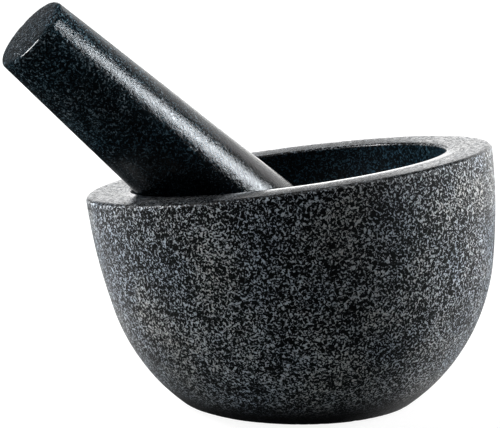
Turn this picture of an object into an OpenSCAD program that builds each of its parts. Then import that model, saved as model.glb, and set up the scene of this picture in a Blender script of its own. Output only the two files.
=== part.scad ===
// Mortar and pestle in dark granite. The rim and hollow of the mortar lean to
// the left of its level foot, and the pestle stands in it against the rim.
// Millimetres, +Z up, origin at the centre of the foot.

/* [Mortar body] */
// Radius of the ball that the lower body is cut from
body_r = 77; // [72:0.5:79]
// Height of that ball's centre above the foot
body_h = 60.6; // [54:0.2:66]
// Outer radius of the rim
rim_r = 79.9; // [79:0.1:86]
// Height of the rim's middle above the foot, along the leaning axis
rim_h = 91.2; // [84:0.2:104]
// Lean of the rim and hollow to the left, in degrees
rim_lean = 7.6; // [0:0.2:12]

/* [Hollow] */
// Radius of the round hollow
hollow_r = 62; // [50:0.5:66]
// Depth of the straight throat above the hollow's round part
throat_h = 4; // [2:0.5:8]

/* [Edges] */
// Rounding of the rim's outer edge
rim_outer_round = 1.2; // [0.6:0.1:3]
// Rounding of the rim's inner edge
rim_inner_round = 1.5; // [0.6:0.1:3]
// Rounding of the edge of the pestle's flat end
handle_round = 1.2; // [0.6:0.1:3]

/* [Pestle] */
// Whole length of the pestle, from its flat end to the tip of its dome
pestle_l = 169.4; // [150:0.2:190]
// Radius of the flat end that the hand holds
handle_r = 15.1; // [12:0.1:18]
// Radius of the dome that grinds
dome_r = 24.2; // [20:0.1:28]

/* [Pestle at rest] */
// Lean of the pestle away from upright, in degrees
pestle_lean = 50; // [40:0.5:50]
// How far the lean turns from the left towards the front, in degrees
pestle_swing = 28.5; // [20:0.5:40]
// How far up the hollow's wall the dome sits from its lowest point, in degrees
seat_slope = 15; // [15:0.5:25]
// Direction of that seat, in degrees from the right towards the back
seat_turn = 70; // [50:1:70]
// Gap left between the dome and the hollow
seat_gap = 0.2; // [0.1:0.1:1]

/* [Hidden] */

$fn = 128;

// The wall rises from the ball on one arc, which is upright where the rim's rounding starts
wall_top = rim_h - rim_outer_round;
wall_turn = 2 * atan((rim_r - body_r) / (wall_top - body_h));
wall_r = body_r + (wall_top - body_h) / sin(wall_turn);
join_h = body_h - body_r * sin(wall_turn);
wall_steps = 8;

hollow_h = rim_h - throat_h;

// The pestle's cone runs from the flat end's edge to touch the dome
dome_h = pestle_l - dome_r;
cone_turn = asin(dome_r / norm([handle_r, dome_h])) - atan(handle_r / dome_h);
cone_end_r = dome_r * cos(cone_turn);
cone_end_h = dome_h - dome_r * sin(cone_turn);
edge_r = handle_r + handle_round * (tan(cone_turn) - 1 / cos(cone_turn));

// Centre of the hollow's round part, and of the dome on its seat in the hollow
hollow_c = [-(hollow_h - body_h) * sin(rim_lean), 0, body_h + (hollow_h - body_h) * cos(rim_lean)];
seat_way = [
  sin(seat_slope) * cos(seat_turn),
  sin(seat_slope) * sin(seat_turn),
  -cos(seat_slope)
];
dome_c = hollow_c + (hollow_r - dome_r - seat_gap) * seat_way;

// Room that a cutter needs past the face it cuts
over = 1;

// Half outline of the solid body, before the hollow is taken out
module body_outline() {
  intersection() {
    translate([0, body_h])
      circle(r = body_r);
    translate([0, body_h - body_r])
      square([body_r, join_h - body_h + body_r]);
  }
  polygon([
    [0, join_h],
    for (step = [0:wall_steps])
      let (a = wall_turn * (step / wall_steps - 1))
        [rim_r - wall_r * (1 - cos(a)), wall_top + wall_r * sin(a)],
    [0, wall_top]
  ]);
  translate([0, wall_top])
    square([rim_r - rim_outer_round, rim_outer_round]);
  intersection() {
    translate([rim_r - rim_outer_round, wall_top])
      circle(r = rim_outer_round);
    translate([rim_r - rim_outer_round, wall_top])
      square(rim_outer_round);
  }
}

// Half outline of the hollow, with the flare that rounds the rim's inner edge
module hollow_outline() {
  intersection() {
    translate([0, hollow_h])
      circle(r = hollow_r);
    translate([0, hollow_h - hollow_r])
      square(hollow_r);
  }
  translate([0, hollow_h])
    square([hollow_r, throat_h + over]);
  difference() {
    translate([hollow_r, rim_h - rim_inner_round])
      square([rim_inner_round, rim_inner_round + over]);
    translate([hollow_r + rim_inner_round, rim_h - rim_inner_round])
      circle(r = rim_inner_round);
  }
}

// Turns its children about the ball's centre, so that the foot stays level
module leaning() {
  translate([0, 0, body_h])
    rotate([0, -rim_lean, 0])
      translate([0, 0, -body_h])
        children();
}

module mortar() {
  color([0.22, 0.24, 0.26])
    difference() {
      leaning()
        rotate_extrude()
          difference() {
            body_outline();
            hollow_outline();
          }
      // The level foot
      translate([0, 0, -body_r])
        cylinder(h = body_r, r = rim_r);
    }
}

// Half outline of the pestle, flat end down
module pestle_outline() {
  polygon([
    [0, 0],
    [edge_r, 0],
    [edge_r, handle_round],
    [edge_r + handle_round * cos(cone_turn), handle_round * (1 - sin(cone_turn))],
    [cone_end_r, cone_end_h],
    [0, cone_end_h]
  ]);
  intersection() {
    translate([edge_r, handle_round])
      circle(r = handle_round);
    translate([edge_r, 0])
      square(handle_round);
  }
  intersection() {
    translate([0, dome_h])
      circle(r = dome_r);
    translate([0, cone_end_h])
      square([dome_r, pestle_l - cone_end_h]);
  }
}

module pestle() {
  color([0.11, 0.12, 0.13])
    translate(dome_c)
      rotate([0, -pestle_lean, pestle_swing])
        translate([0, 0, dome_h])
          mirror([0, 0, 1])
            rotate_extrude()
              pestle_outline();
}

mortar();
pestle();
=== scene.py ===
import math
import random

import bpy
import numpy as np
from mathutils import Matrix, Vector, noise


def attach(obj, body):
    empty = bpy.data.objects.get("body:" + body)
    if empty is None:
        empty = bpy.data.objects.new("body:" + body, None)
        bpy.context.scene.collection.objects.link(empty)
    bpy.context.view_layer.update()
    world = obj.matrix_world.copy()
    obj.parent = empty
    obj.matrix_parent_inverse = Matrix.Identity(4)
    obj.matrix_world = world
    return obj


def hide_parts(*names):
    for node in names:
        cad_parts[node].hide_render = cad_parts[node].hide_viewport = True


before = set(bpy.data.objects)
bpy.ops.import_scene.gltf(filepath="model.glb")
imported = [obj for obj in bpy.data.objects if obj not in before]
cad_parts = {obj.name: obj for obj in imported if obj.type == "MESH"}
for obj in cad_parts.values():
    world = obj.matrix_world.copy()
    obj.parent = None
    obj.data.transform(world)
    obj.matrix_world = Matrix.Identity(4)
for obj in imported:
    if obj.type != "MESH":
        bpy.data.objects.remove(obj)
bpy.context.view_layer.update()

# ---------------------------------------------------------------- sizes, in millimetres and degrees
# as in the CAD model
MM = 0.001
BODY_R, BODY_H = 77.0, 60.6          # the ball under the wall: its radius and the height of its centre
RIM_R, RIM_H, RIM_LEAN = 79.9, 91.2, 7.6
HOLLOW_R, THROAT_H = 62.0, 4.0
RIM_OUTER_ROUND, RIM_INNER_ROUND = 1.2, 1.5
PESTLE_L, HANDLE_R, DOME_R = 169.4, 15.1, 24.2
PESTLE_LEAN, PESTLE_SWING = 50.0, 28.5
SEAT_SLOPE, SEAT_TURN, SEAT_GAP = 15.0, 70.0, 0.2

# only here
SKIN = 0.06                          # every surface lies this far inside the CAD solid
RIM_EASE = 2.1                       # the rim's outer edge is a little softer
FOOT_ROUND = 1.6                     # the foot's edge is eased
CROWN = 0.2                          # in front the rim is crowned, by this much at each edge
DISH_EDGE, DISH_IN = 0.2, 0.34       # at the back it falls towards the hollow: evenly, and more and more
HANDLE_EASE, HANDLE_CROWN = 1.6, 0.3   # the pestle's flat end is eased and faintly crowned

# worked out from these, with the names that end in TURN in radians
# The wall's outline is an arc of radius WALL_R. It leaves the ball smoothly, is upright at WALL_TOP, and
# stops END_TURN below that, where the eased edge takes over.
WALL_TOP = RIM_H - RIM_OUTER_ROUND
WALL_TURN = 2 * math.atan((RIM_R - BODY_R) / (WALL_TOP - BODY_H))
WALL_R = BODY_R + (WALL_TOP - BODY_H) / math.sin(WALL_TURN)
END_TURN = math.asin((RIM_EASE - RIM_OUTER_ROUND) / WALL_R)
WALL_FOOT_H = BODY_H - BODY_R * math.sin(WALL_TURN)
# the middle of each rounding, and the slope at which it meets the ball or the hollow
FOOT_R = math.sqrt((BODY_R - FOOT_ROUND) ** 2 - (BODY_H - FOOT_ROUND) ** 2)
FOOT_SLOPE = math.degrees(math.atan2(BODY_H - FOOT_ROUND, FOOT_R))
LIP_R = math.sqrt((HOLLOW_R + RIM_INNER_ROUND) ** 2 - (THROAT_H - RIM_INNER_ROUND) ** 2)
LIP_SLOPE = math.degrees(math.atan2(THROAT_H - RIM_INNER_ROUND, LIP_R))
# the middles of the hollow and of the pestle's dome, and how far the pestle's side leans from its axis
HOLLOW_H = RIM_H - THROAT_H
DOME_AT = PESTLE_L - DOME_R
PESTLE_TURN = math.asin(DOME_R / math.hypot(HANDLE_R, DOME_AT)) - math.atan(HANDLE_R / DOME_AT)

HONED, POLISHED, GROUND = 0, 1, 2    # the mortar's three finishes, in the order of its materials


def clamp(v, lo=0.0, hi=1.0):
    return max(lo, min(hi, v))


def smooth(lo, hi, v):
    t = clamp((v - lo) / (hi - lo))
    return t * t * (3 - 2 * t)


# ---------------------------------------------------------------- meshes
class Skin:
    """A closed skin: rings of points from one end of a piece to the other, each with its tags."""

    def __init__(self, around, names):
        self.phis = [2 * math.pi * k / around for k in range(around)]
        self.rings = []
        self.tags = {name: [] for name in names}

    def add(self, points, **tags):
        """Adds a ring. A tag is one value, or a list with one for each point, and 0 where it isn't given."""
        self.rings.append(points)
        for name, values in self.tags.items():
            values.append(tags.get(name, 0.0))

    def mesh(self, name, first, last):
        """The mesh, with a point at each end and a float attribute for each tag."""
        n = len(self.phis)
        verts = [first] + [p for ring in self.rings for p in ring] + [last]
        top, end = 1 + (len(self.rings) - 1) * n, len(verts) - 1
        faces = [(0, 1 + (k + 1) % n, 1 + k) for k in range(n)]
        for a in range(1, top, n):
            b = a + n
            for k in range(n):
                k2 = (k + 1) % n
                faces.append((a + k, a + k2, b + k2, b + k))
        faces += [(top + k, top + (k + 1) % n, end) for k in range(n)]
        me = bpy.data.meshes.new(name)
        me.from_pydata([tuple(MM * c for c in v) for v in verts], [], faces)
        me.polygons.foreach_set("use_smooth", [True] * len(me.polygons))
        for tag, values in self.tags.items():
            wide = [v if isinstance(v, list) else [v] * n for v in values]
            flat = [wide[0][0]] + [v for ring in wide for v in ring] + [wide[-1][0]]
            me.attributes.new(tag, "FLOAT", "POINT").data.foreach_set("value", flat)
        me.update()
        obj = bpy.data.objects.new(name, me)
        bpy.context.scene.collection.objects.link(obj)
        return obj


def sink(obj, depth):
    """Moves each point into the stone by depth(place in mm, its tags), in mm."""
    me = obj.data
    count = len(me.vertices)
    co = np.empty(count * 3)
    me.vertices.foreach_get("co", co)
    co = co.reshape(-1, 3)
    nor = np.array([v.normal[:] for v in me.vertices])
    tags = {}
    for att in me.attributes:
        if att.data_type == "FLOAT" and att.domain == "POINT":
            vals = np.empty(count)
            att.data.foreach_get("value", vals)
            tags[att.name] = vals
    deep = np.array([
        depth(Vector(co[i] / MM), {t: v[i] for t, v in tags.items()}) for i in range(count)
    ])
    co -= nor * (deep[:, None] * MM)
    me.vertices.foreach_set("co", co.ravel())
    me.update()


def arc(cx, cy, r, a0, a1, steps):
    """Points on a circle from angle a0 to a1, in degrees, both ends included."""
    out = []
    for i in range(steps + 1):
        a = math.radians(a0 + (a1 - a0) * i / steps)
        out.append((cx + r * math.cos(a), cy + r * math.sin(a)))
    return out


def unevenness(p, size, shift=(0, 0, 0)):
    """Smooth noise from 0 to 1, in swells of about the given size in mm."""
    return 0.5 + 0.5 * noise.noise(p / size + Vector(shift))


def pits(p, size, shift=(0, 0, 0), floor=0.0):
    """Noise that is 0 except in scattered pits of about the given size in mm."""
    return max(0.0, noise.noise(p / size + Vector(shift)) - floor)


# ---------------------------------------------------------------- the mortar
PIVOT = Vector((0, 0, BODY_H))
LEAN = Matrix.Rotation(math.radians(-RIM_LEAN), 3, "Y")


def leaning(r, h, phi):
    """A point of the wall, rim or hollow, which lean about the ball's middle."""
    return PIVOT + LEAN @ (upright(r, h, phi) - PIVOT)


def upright(r, h, phi):
    return Vector((r * math.cos(phi), r * math.sin(phi), h))


def add_foot(skin, steps=12, edge_steps=4):
    """The level foot, and its eased edge."""
    for i in range(1, steps):
        skin.add([upright(FOOT_R * i / steps, 0, p) for p in skin.phis])
    for r, h in arc(FOOT_R, FOOT_ROUND, FOOT_ROUND, -90, -FOOT_SLOPE, edge_steps):
        skin.add([upright(r, h, p) for p in skin.phis])


def add_ball(skin, steps=48):
    """The ball, from the level foot to the leaning wall."""
    slope = math.radians(FOOT_SLOPE)
    low_r, low_h = BODY_R * math.cos(slope), BODY_H - BODY_R * math.sin(slope)
    high_r = BODY_R * math.cos(WALL_TURN)
    low = [(upright(low_r, low_h, p) - PIVOT).normalized() for p in skin.phis]
    high = [(leaning(high_r, WALL_FOOT_H, p) - PIVOT).normalized() for p in skin.phis]
    for i in range(1, steps + 1):
        skin.add([PIVOT + BODY_R * a.slerp(b, i / steps) for a, b in zip(low, high)])


def wall_point(share):
    """A point (r, h) of the wall's outline, at a share of the way up."""
    a = -WALL_TURN + (WALL_TURN - END_TURN) * share
    return RIM_R - WALL_R * (1 - math.cos(a)), WALL_TOP + WALL_R * math.sin(a)


def add_wall(skin, steps=38):
    for i in range(1, steps + 1):
        r, h = wall_point(i / steps)
        skin.add([leaning(r, h, p) for p in skin.phis], edge=smooth(0.93, 1, i / steps))


def frontness(phi):
    """1 in front, where -Y is, and 0 at the back."""
    return 0.5 - 0.5 * math.sin(phi)


def rim_fall(u, phi):
    """How far the rim lies below its plane, at a share u of the way from its outer edge to the hollow."""
    front = frontness(phi)
    return front * CROWN * (2 * u - 1) ** 2 + (1 - front) * (DISH_EDGE * u + DISH_IN * u * u)


def add_rim(skin, outer_steps=7, steps=20, inner_steps=6):
    """The rim: its eased outer edge, its top and its inner edge, which is worn smooth in front."""
    worn = [smooth(0.5, 0.85, frontness(p)) for p in skin.phis]
    top_r, top_h = wall_point(1)
    start_r = top_r - RIM_EASE
    for i, (r, h) in enumerate(arc(start_r, top_h, RIM_EASE, 0, 90, outer_steps)[1:]):
        part = (i + 1) / outer_steps
        points = [leaning(r, min(h, RIM_H) - part * rim_fall(0, p), p) for p in skin.phis]
        skin.add(points, polish=part, edge=1.0)
    fall_turn = math.atan(4 * CROWN / (start_r - LIP_R))
    end_r = LIP_R - RIM_INNER_ROUND * math.sin(fall_turn)
    for i in range(1, steps + 1):
        u = i / steps
        r = start_r + (end_r - start_r) * u
        points = [leaning(r, RIM_H - rim_fall(u, p), p) for p in skin.phis]
        lip = [smooth(0.6, 0.9, u) * w for w in worn]
        skin.add(points, polish=1.0, edge=0.5 if i == 1 else 0.0, lip=lip)
    line = arc(LIP_R, RIM_H - RIM_INNER_ROUND, RIM_INNER_ROUND,
               90 + math.degrees(fall_turn), 180 + LIP_SLOPE, inner_steps)
    for i, (r, h) in enumerate(line[1:]):
        part = (i + 1) / inner_steps
        drops = [(1 - part) * (rim_fall(1, p) - RIM_H + line[0][1]) for p in skin.phis]
        points = [leaning(r, h - drop, p) for p, drop in zip(skin.phis, drops)]
        skin.add(points, polish=1 - 0.1 * i, hollow=part, edge=0.3 if i else 0.0, lip=worn)


def add_hollow(skin, steps=76):
    for r, h in arc(0, HOLLOW_H, HOLLOW_R, LIP_SLOPE, -90, steps)[1:-1]:
        skin.add([leaning(r, h, p) for p in skin.phis], hollow=1.0)


def set_finishes(obj, skin):
    """Gives each band of faces its finish."""
    polish, hollow, n = skin.tags["polish"], skin.tags["hollow"], len(skin.phis)
    zones = [HONED]
    for i in range(len(skin.rings) - 1):
        rim = polish[i] >= 0.4 or hollow[i + 1] > 0
        zones.append(GROUND if hollow[i] > 0.9 else POLISHED if rim else HONED)
    zones.append(GROUND)
    obj.data.polygons.foreach_set("material_index", [zone for zone in zones for _ in range(n)])


def rim_chips(count=30, outside_share=0.65):
    """Small chips along the two edges of the rim: the middle, radius and depth of each."""
    dice = random.Random(7)
    chips = []
    for _ in range(count):
        a = dice.uniform(0, 2 * math.pi)
        outside = dice.random() < outside_share
        r = RIM_R - 0.2 if outside else LIP_R - 1.2
        chips.append((leaning(r, RIM_H - 0.2, a), dice.uniform(0.6, 1.9), dice.uniform(0.12, 0.38)))
    return chips


def make_mortar(around=400):
    skin = Skin(around, ("polish", "hollow", "edge", "lip"))
    for add_part in (add_foot, add_ball, add_wall, add_rim, add_hollow):
        add_part(skin)
    # painted shade: a mask that is 1 up to 2 mm above the floor and 0 from 11 mm up, for the contact shade
    # under the ball
    skin.tags["foot"] = [1 - smooth(2, 11, min(p[2] for p in ring)) for ring in skin.rings]
    obj = skin.mesh("mortar_stone", Vector((0, 0, 0)), leaning(0, HOLLOW_H - HOLLOW_R, 0))
    set_finishes(obj, skin)
    chips = rim_chips()

    def depth(p, tag):
        rough = 1 - max(tag["polish"], tag["hollow"])
        d = SKIN + rough * (0.22 * unevenness(p, 17) + 0.16 * pits(p, 1.9, floor=0.12))
        d += tag["hollow"] * 0.16 * unevenness(p, 21, (9, 2, 4))
        d += tag["edge"] * 0.1 * pits(p, 3.1)
        if tag["edge"] > 0:
            for middle, r, deep in chips:
                gap = (p - middle).length
                if gap < r:
                    d += deep * smooth(0, 1, 1 - gap / r)
        return d

    sink(obj, depth)
    return obj


# ---------------------------------------------------------------- the pestle
def seat():
    """The middle of the pestle's dome, where it rests in the hollow."""
    slope, turn = math.radians(SEAT_SLOPE), math.radians(SEAT_TURN)
    across = math.sin(slope)
    way = Vector((across * math.cos(turn), across * math.sin(turn), -math.cos(slope)))
    return leaning(0, HOLLOW_H, 0) + (HOLLOW_R - DOME_R - SEAT_GAP) * way


DOME_C = seat()
SWING = Matrix.Rotation(math.radians(PESTLE_SWING), 3, "Z")
STAND = SWING @ Matrix.Rotation(math.radians(-PESTLE_LEAN), 3, "Y")


def on_pestle(r, s, phi):
    """The point at radius r and distance s from the pestle's flat end."""
    return DOME_C + STAND @ upright(r, DOME_AT - s, phi)


def pestle_outline(end_steps, ease_steps, side_steps=140, dome_steps=40):
    """Points (r, s) of the outline: the flat end, its eased edge, the tapered side and the dome."""
    tilt = math.degrees(PESTLE_TURN)
    ease_r = HANDLE_R + (HANDLE_EASE + HANDLE_CROWN) * math.tan(PESTLE_TURN)
    ease_r -= HANDLE_EASE / math.cos(PESTLE_TURN)
    bow = math.degrees(math.atan(2 * HANDLE_CROWN / ease_r))
    shares = [i / end_steps for i in range(1, end_steps)]
    end = [(ease_r * share, HANDLE_CROWN * share ** 2) for share in shares]
    ease = arc(ease_r, HANDLE_EASE + HANDLE_CROWN, HANDLE_EASE, -90 + bow, -tilt, ease_steps)
    dome = arc(0, DOME_AT, DOME_R, -tilt, 90, dome_steps)[:-1]
    (r0, s0), (r1, s1) = ease[-1], dome[0]
    shares = [i / side_steps for i in range(1, side_steps)]
    side = [(r0 + (r1 - r0) * share, s0 + (s1 - s0) * share) for share in shares]
    return end + ease + side + dome


def make_pestle(around=180, end_steps=12, ease_steps=6):
    skin = Skin(around, ("edge", "face", "glint", "deep"))
    ease_from, ease_to = end_steps - 1, end_steps - 1 + ease_steps
    for i, (r, s) in enumerate(pestle_outline(end_steps, ease_steps)):
        # the deep tag is painted shade: a mask for darkening the pestle towards its dome, which lies in the
        # hollow
        # turned round, so that the faces look outwards
        skin.add([on_pestle(r, s, -p) for p in skin.phis],
                 edge=1.0 if ease_from <= i <= ease_to else 0.0,
                 face=clamp((ease_from + 3 - i) / 3),
                 glint=1.0 if ease_from <= i < ease_to else 0.0,
                 deep=smooth(20, 105, s))
    obj = skin.mesh("pestle_stone", on_pestle(0, 0, 0), on_pestle(0, PESTLE_L, 0))

    def depth(p, tag):
        d = SKIN + 0.12 * unevenness(p, 19, (3, 8, 1)) + 0.05 * pits(p, 2.3)
        return d + 0.1 * (tag["edge"] + tag["face"]) * pits(p, 2.6, (5, 5, 5))

    sink(obj, depth)
    return obj


# ---------------------------------------------------------------- materials
class Nodes:
    """Short ways to build a material's node tree. Colours have four parts, as Blender takes them."""

    def __init__(self, name):
        self.mat = bpy.data.materials.new(name)
        self.mat.use_nodes = True
        self.tree = self.mat.node_tree
        self.tree.nodes.clear()

    def add(self, kind, inputs=(), **props):
        node = self.tree.nodes.new(kind)
        for k, v in props.items():
            setattr(node, k, v)
        for k, v in dict(inputs).items():
            if isinstance(v, bpy.types.NodeSocket):
                self.tree.links.new(v, node.inputs[k])
            else:
                node.inputs[k].default_value = v
        return node

    def place(self):
        return self.add("ShaderNodeTexCoord").outputs["Object"]

    def tag(self, name):
        return self.add("ShaderNodeAttribute", attribute_name=name).outputs["Fac"]

    def math(self, op, a, b):
        return self.add("ShaderNodeMath", {0: a, 1: b}, operation=op).outputs[0]

    def vector(self, op, inputs):
        return self.add("ShaderNodeVectorMath", inputs, operation=op).outputs[0]

    def noise(self, at, scale, detail=2.0, rough=0.5, warp=0.0):
        return self.add("ShaderNodeTexNoise", {
            "Vector": at, "Scale": scale, "Detail": detail, "Roughness": rough, "Distortion": warp})

    def cloud(self, at, scale, detail=2.0, rough=0.5, warp=0.0):
        """Noise as a number."""
        return self.noise(at, scale, detail, rough, warp).outputs["Fac"]

    def span(self, v, lo, hi, to_lo=0.0, to_hi=1.0):
        return self.add("ShaderNodeMapRange", {0: v, 1: lo, 2: hi, 3: to_lo, 4: to_hi}).outputs[0]

    def between(self, share, a, b):
        """A number between two others."""
        return self.add("ShaderNodeMix", {0: share, 2: a, 3: b}).outputs[0]

    def mix(self, share, a, b, blend="MIX"):
        """A colour between two others."""
        return self.add("ShaderNodeMix", {0: share, 6: a, 7: b},
                        data_type="RGBA", blend_type=blend, clamp_factor=True).outputs[2]

    def times(self, a, b):
        return self.mix(1.0, a, b, "MULTIPLY")

    def ramp(self, v, stops):
        node = self.add("ShaderNodeValToRGB", {0: v})
        elements = node.color_ramp.elements
        while len(elements) > 1:
            elements.remove(elements[-1])
        elements[0].position = stops[0][0]
        elements[0].color = (*stops[0][1], 1)
        for at, colour in stops[1:]:
            elements.new(at).color = (*colour, 1)
        return node.outputs[0]

    def finish(self, shader):
        self.add("ShaderNodeOutputMaterial", {0: shader.outputs[0]})
        return self.mat


GRAIN = 1250.0                       # crystals along a metre

# the colour of a spot, by how pale it is
MORTAR_STONE = [
    (0.0, (0.0002, 0.0002, 0.0003)), (0.5, (0.0005, 0.0006, 0.0007)), (0.56, (0.012, 0.013, 0.0145)),
    (0.62, (0.09, 0.0925, 0.095)), (0.695, (0.42, 0.422, 0.423)), (0.785, (0.61, 0.61, 0.604))]
PESTLE_STONE = [
    (0.0, (0.0004, 0.0016, 0.0023)), (0.46, (0.001, 0.0036, 0.0049)), (0.6, (0.0096, 0.0192, 0.0234)),
    (0.75, (0.048, 0.069, 0.0762)), (0.93, (0.216, 0.234, 0.24))]


def grain(n, at):
    """The stone's patterns: how pale each spot is, each crystal's tint and gloss, and a fine noise."""
    push = n.noise(at, GRAIN * 0.5, 1.0).outputs["Color"]
    push = n.vector("SUBTRACT", {0: push, 1: (0.5, 0.5, 0.5)})
    push = n.vector("SCALE", {0: push, 3: 2.8 / GRAIN})
    moved = n.vector("ADD", {0: at, 1: push})
    cell = n.add("ShaderNodeTexVoronoi", {
        "Vector": moved, "Scale": GRAIN * 1.1, "Randomness": 1.0}, feature="F1")
    dice = n.add("ShaderNodeSeparateColor", {0: cell.outputs["Color"]})
    worm = n.span(n.cloud(moved, GRAIN, 1.0, 0.4), 0.34, 0.66)
    fine = n.cloud(moved, GRAIN * 1.9, 2.0, 0.6)
    pale = n.math("ADD", n.math("MULTIPLY", worm, 0.62), n.math("MULTIPLY", dice.outputs[0], 0.3))
    pale = n.math("ADD", pale, n.span(fine, 0.25, 0.75, -0.12, 0.2))
    pale = n.math("ADD", pale, n.span(n.cloud(at, GRAIN * 0.11), 0.3, 0.7, -0.05, 0.05))
    pale = n.math("ADD", pale, n.span(n.cloud(at, GRAIN * 0.03, 1.0), 0.32, 0.68, -0.035, 0.035))
    return pale, dice.outputs[1], dice.outputs[2], fine


def stone(n, base, rough, relief, strength, ior, sheen=0.0):
    """The finished material. relief: pairs of a pattern and its share of the surface's height."""
    (pale, pale_share), (fine, fine_share) = relief
    height = n.math("ADD", n.math("MULTIPLY", pale, pale_share), n.math("MULTIPLY", fine, fine_share))
    bump = n.add("ShaderNodeBump", {"Strength": strength, "Distance": 0.0003, "Height": height})
    return n.finish(n.add("ShaderNodeBsdfPrincipled", {
        "Base Color": base, "Roughness": rough, "Normal": bump.outputs[0], "IOR": ior,
        "Sheen Weight": sheen, "Sheen Roughness": 0.4}))


def mortar_base(n, at):
    """The mortar's colour before its finish, and the patterns that the finish needs."""
    pale, tint, gloss, fine = grain(n, at)
    base = n.ramp(pale, MORTAR_STONE)
    base = n.times(base, n.mix(tint, (0.95, 0.99, 1.03, 1), (1.03, 1.0, 0.97, 1)))
    patch = n.span(n.cloud(at, 38.0), 0.36, 0.64)
    base = n.times(base, n.mix(patch, (0.86, 0.96, 1.09, 1), (1.0, 1.0, 0.985, 1)))
    return base, pale, gloss, fine


def honed_material():
    """The outside of the bowl: matt, with its pale grains showing, and painted shade that darkens it near the
    foot.
    """
    n = Nodes("mortar_honed")
    base, pale, gloss, fine = mortar_base(n, n.place())
    # painted shade: near the foot the colour is darkened to a few hundredths of itself
    base = n.mix(n.tag("foot"), base, n.times(base, (0.03, 0.03, 0.035, 1)))
    rough = n.between(n.tag("edge"), n.span(gloss, 0, 1, 0.46, 0.62), 0.36)
    return stone(n, base, rough, ((pale, 0.6), (fine, 0.6)), 0.38, 1.26, sheen=0.13)


def polished_material():
    """The rim: ground flat and polished, so that it mirrors the light."""
    n = Nodes("mortar_polished")
    at = n.place()
    base, pale, gloss, fine = mortar_base(n, at)
    base = n.times(base, (0.25, 0.26, 0.27, 1))
    worn = n.math("MULTIPLY", n.tag("edge"), n.span(n.cloud(at, 420.0, 3.0), 0.4, 0.66))
    base = n.mix(n.math("MULTIPLY", worn, 0.12), base, (0.24, 0.246, 0.246, 1))
    dull = n.span(n.cloud(at, 260.0, 3.0, 0.6), 0.35, 0.7, 0.0, 0.1)
    rough = n.math("ADD", n.span(gloss, 0.2, 1, 0.08, 0.42), dull)
    rough = n.between(n.tag("lip"), rough, 0.05)
    strength = n.span(n.tag("lip"), 0, 1, 0.06, 0.0)
    return stone(n, base, rough, ((pale, 0.4), (fine, 0.5)), strength, 1.52)


def hollow_material():
    """The hollow: worn smooth, with painted shade: its colour is darkened to a deep teal, and in patches
    darker still.
    """
    n = Nodes("mortar_hollow")
    at = n.place()
    base, pale, gloss, fine = mortar_base(n, at)
    # painted shade: the hollow is made far darker than the outside, for the shade inside the bowl
    base = n.times(base, (0.05, 0.11, 0.15, 1))
    patchy_shade = n.span(n.cloud(at, 120.0, 3.0, 0.6, 1.0), 0.35, 0.7, 0.25, 0.6)
    base = n.mix(patchy_shade, base, (0.0012, 0.0036, 0.0054, 1))
    rough = n.span(gloss, 0, 1, 0.4, 0.55)
    return stone(n, base, rough, ((pale, 0.4), (fine, 0.6)), 0.14, 1.18)


def pestle_material():
    """The pestle: polished and dark, with painted shade that darkens it towards its dome, which lies in the
    hollow, and that darkens its duller flat end.
    """
    n = Nodes("pestle_granite")
    at = n.place()
    pale, _, gloss, fine = grain(n, at)
    base = n.ramp(pale, PESTLE_STONE)
    # painted shade: the colour is darkened towards the dome
    base = n.mix(n.tag("deep"), base, n.times(base, (0.08, 0.09, 0.11, 1)))
    patch = n.span(n.cloud(at, 45.0), 0.36, 0.64)
    base = n.times(base, n.mix(patch, (0.55, 0.9, 1.1, 1), (1.1, 1.1, 1.15, 1)))
    face, glint = n.tag("face"), n.tag("glint")
    # painted shade: the flat end's colour is darkened, so that it looks as dim as the side
    base = n.mix(face, base, n.times(base, (0.4, 0.4, 0.42, 1)))
    worn = n.math("MULTIPLY", n.tag("edge"), n.span(n.cloud(at, 500.0, 3.0), 0.35, 0.65))
    base = n.mix(n.math("MULTIPLY", worn, 0.04), base, (0.18, 0.186, 0.186, 1))
    dull = n.span(n.cloud(at, 60.0, 3.0), 0.35, 0.7, 0.0, 0.05)
    rough = n.math("ADD", n.span(gloss, 0.3, 1, 0.06, 0.18), dull)
    rough = n.between(glint, n.between(face, rough, 0.26), 0.07)
    strength = n.between(glint, n.between(face, 0.21, 0.36), 0.02)
    return stone(n, base, rough, ((pale, 0.6), (fine, 0.8)), strength, 1.5)


# ---------------------------------------------------------------- studio, in metres
def stage_mesh(name, line, material, around=96, azimuths=None, glow=None):
    """An open skin turned about Z through (r, z).

    azimuths: the first and last that it spans, in degrees from +Y; all the way round without them.
    glow: the brightness at (r, z, azimuth in degrees), for the material to use.
    """
    if azimuths is None:
        turns = [360 * k / around for k in range(around)]
    else:
        turns = [azimuths[0] + (azimuths[1] - azimuths[0]) * k / (around - 1) for k in range(around)]
    verts = [(r * math.sin(math.radians(t)), r * math.cos(math.radians(t)), z) for r, z in line for t in turns]
    faces = []
    for a in range(0, (len(line) - 1) * around, around):
        for k in range(around if azimuths is None else around - 1):
            k2 = (k + 1) % around
            faces.append((a + k, a + k2, a + around + k2, a + around + k))
    if azimuths is None:
        faces.append(tuple(range(around)))
    me = bpy.data.meshes.new(name)
    me.from_pydata(verts, [], faces)
    me.polygons.foreach_set("use_smooth", [True] * len(me.polygons))
    if glow:
        att = me.attributes.new("glow", "FLOAT", "POINT")
        att.data.foreach_set("value", [glow(r, z, t) for r, z in line for t in turns])
    me.materials.append(material)
    obj = bpy.data.objects.new(name, me)
    bpy.context.scene.collection.objects.link(obj)
    return obj


def matt_material(name, colour, glows=False):
    n = Nodes(name)
    return n.finish(n.add("ShaderNodeBsdfPrincipled", {
        "Base Color": (*colour, 1), "Roughness": 0.9, "Specular IOR Level": 0.0,
        "Emission Color": (1, 1, 1, 1), "Emission Strength": n.tag("glow") if glows else 0.0}))


def glow_material(name):
    n = Nodes(name)
    return n.finish(n.add("ShaderNodeEmission", {"Strength": n.tag("glow")}))


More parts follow.
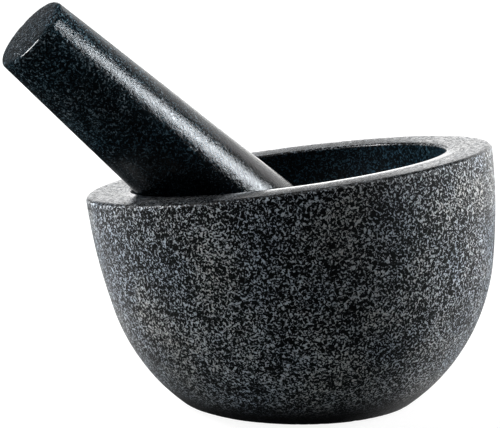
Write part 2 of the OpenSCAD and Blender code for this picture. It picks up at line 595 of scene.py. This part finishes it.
def make_floor():
    """A pale floor that curves up into a wall. It glows, so that it looks white, and lights nothing."""
    flat, bend = 1.4, 1.2
    line = [(0.001, 0.0), (0.3, 0.0), (0.8, 0.0), (flat, 0.0)]
    for t in range(6, 91, 6):
        a = math.radians(t)
        line.append((flat + bend * math.sin(a), bend - bend * math.cos(a)))
    line.append((flat + bend, 2.5))
    material = matt_material("pale_floor", (0.18, 0.18, 0.18), glows=True)
    floor = stage_mesh("floor", line, material, glow=lambda r, z, t: 0.9 + 0.16 * smooth(0.6, flat, r))
    floor.visible_diffuse = False
    floor.visible_glossy = False
    floor.visible_shadow = False


def make_table_shade():
    """A disc just under the floor, from which only a little light comes back up to the stone."""
    line = [(r, -0.003) for r in (0.001, 0.8, 1.6)]
    table = stage_mesh("table_shade", line, matt_material("shade", (0.2, 0.215, 0.22)))
    table.visible_camera = False
    table.visible_glossy = False
    table.visible_shadow = False


def card_glow(r, z, azimuth):
    """The back card's brightness: dark at the left, bright at the right, fading upwards and at its right end.

    Its middle is brighter low down and darker higher up, which draws the lines along the rim.
    """
    level = 0.06 + 1.1 * smooth(-34, -10, azimuth) + 0.14 * smooth(-4, 6, azimuth)
    level += 1.3 * smooth(26, 48, azimuth)
    level *= 1 - 0.6 * smooth(48, 58, azimuth)
    level *= 1.36 - 0.56 * smooth(0.35, 0.6, z) - 0.2 * smooth(0.6, 1.15, z)
    middle = smooth(-6, -3, azimuth) * (1 - smooth(4, 7, azimuth))
    return level * (1 + middle * (0.6 - 1.34 * smooth(0.23, 0.31, z)))


def make_back_card():
    """A glowing card behind the stone, seen only in its polish."""
    heights = (-0.1, 0.1, 0.2, 0.23, 0.25, 0.27, 0.29, 0.31, 0.35, 0.4, 0.45, 0.5, 0.6, 0.8, 1.15)
    left, right = -62, 58
    card = stage_mesh("back_card", [(1.7, z) for z in heights], glow_material("card_glow"),
                      right - left + 1, (left, right), card_glow)
    card.visible_camera = False
    card.visible_shadow = False


def softbox(name, azimuth, elevation, distance, wide, tall, radiance, mirrored=True, lights=True):
    """A soft light, aimed at the middle of the object. Azimuth 0 is +Y and 90 is +X.

    A radiance of 1 is the white of the floor. mirrored and lights say whether it shows in polish, and
    whether it lights what is matt.
    """
    a, e = math.radians(azimuth), math.radians(elevation)
    way = Vector((math.sin(a) * math.cos(e), math.cos(a) * math.cos(e), math.sin(e)))
    lamp = bpy.data.lights.new(name, "AREA")
    lamp.shape = "RECTANGLE"
    lamp.size, lamp.size_y = wide, tall
    lamp.energy = radiance * math.pi * wide * tall
    obj = bpy.data.objects.new(name, lamp)
    bpy.context.scene.collection.objects.link(obj)
    obj.location = Vector((0, 0, 0.08)) + way * distance
    obj.rotation_mode = "QUATERNION"
    obj.rotation_quaternion = way.to_track_quat("Z", "Y")
    obj.visible_camera = False
    obj.visible_glossy = mirrored
    obj.visible_diffuse = lights
    return obj


def make_lamps():
    # these two draw the streak along the pestle and the bright line on its flat end
    streak = softbox("streak_right", 94, 26, 0.85, 0.28, 0.34, 23, lights=False)
    streak.data.color = (0.94, 1.0, 1.05)
    softbox("streak_left", -96, 31, 0.95, 0.34, 0.3, 22, lights=False)
    # these light the grains
    softbox("soft_right", 78, 24, 0.9, 0.3, 0.35, 18.7, mirrored=False)
    softbox("soft_left", -102, 34, 0.95, 0.4, 0.45, 8.0, mirrored=False)
    softbox("low_right", 66, -1, 0.95, 0.5, 0.3, 27, mirrored=False)
    softbox("low_left", -64, 34, 0.95, 0.45, 0.3, 50, mirrored=False)
    softbox("soft_top", 180, 80, 1.1, 0.7, 0.7, 0.55)


def make_world():
    scene = bpy.context.scene
    scene.world = bpy.data.worlds.new("studio")
    scene.world.use_nodes = True
    back = scene.world.node_tree.nodes["Background"]
    back.inputs["Color"].default_value = (0.9, 0.97, 1.05, 1)
    back.inputs["Strength"].default_value = 0.02
    scene.view_settings.view_transform = "Standard"
    scene.view_settings.look = "None"


def make_camera():
    """The photo's view: from in front and a little above, through a long lens."""
    cam = bpy.data.cameras.new("camera")
    cam.sensor_width = 36
    cam.lens = 100.8
    cam.clip_start, cam.clip_end = 0.01, 20
    obj = bpy.data.objects.new("camera", cam)
    bpy.context.scene.collection.objects.link(obj)
    obj.location = (-0.01874, -0.54808, 0.14987)
    obj.rotation_euler = (math.radians(90 - 8.08), 0, 0)
    bpy.context.scene.camera = obj


make_camera()
make_floor()
make_table_shade()
make_back_card()
make_lamps()
make_world()

mortar = make_mortar()
for make_material in (honed_material, polished_material, hollow_material):
    mortar.data.materials.append(make_material())
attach(mortar, "mortar")
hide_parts("mortar")

pestle = make_pestle()
pestle.data.materials.append(pestle_material())
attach(pestle, "pestle")
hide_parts("pestle")
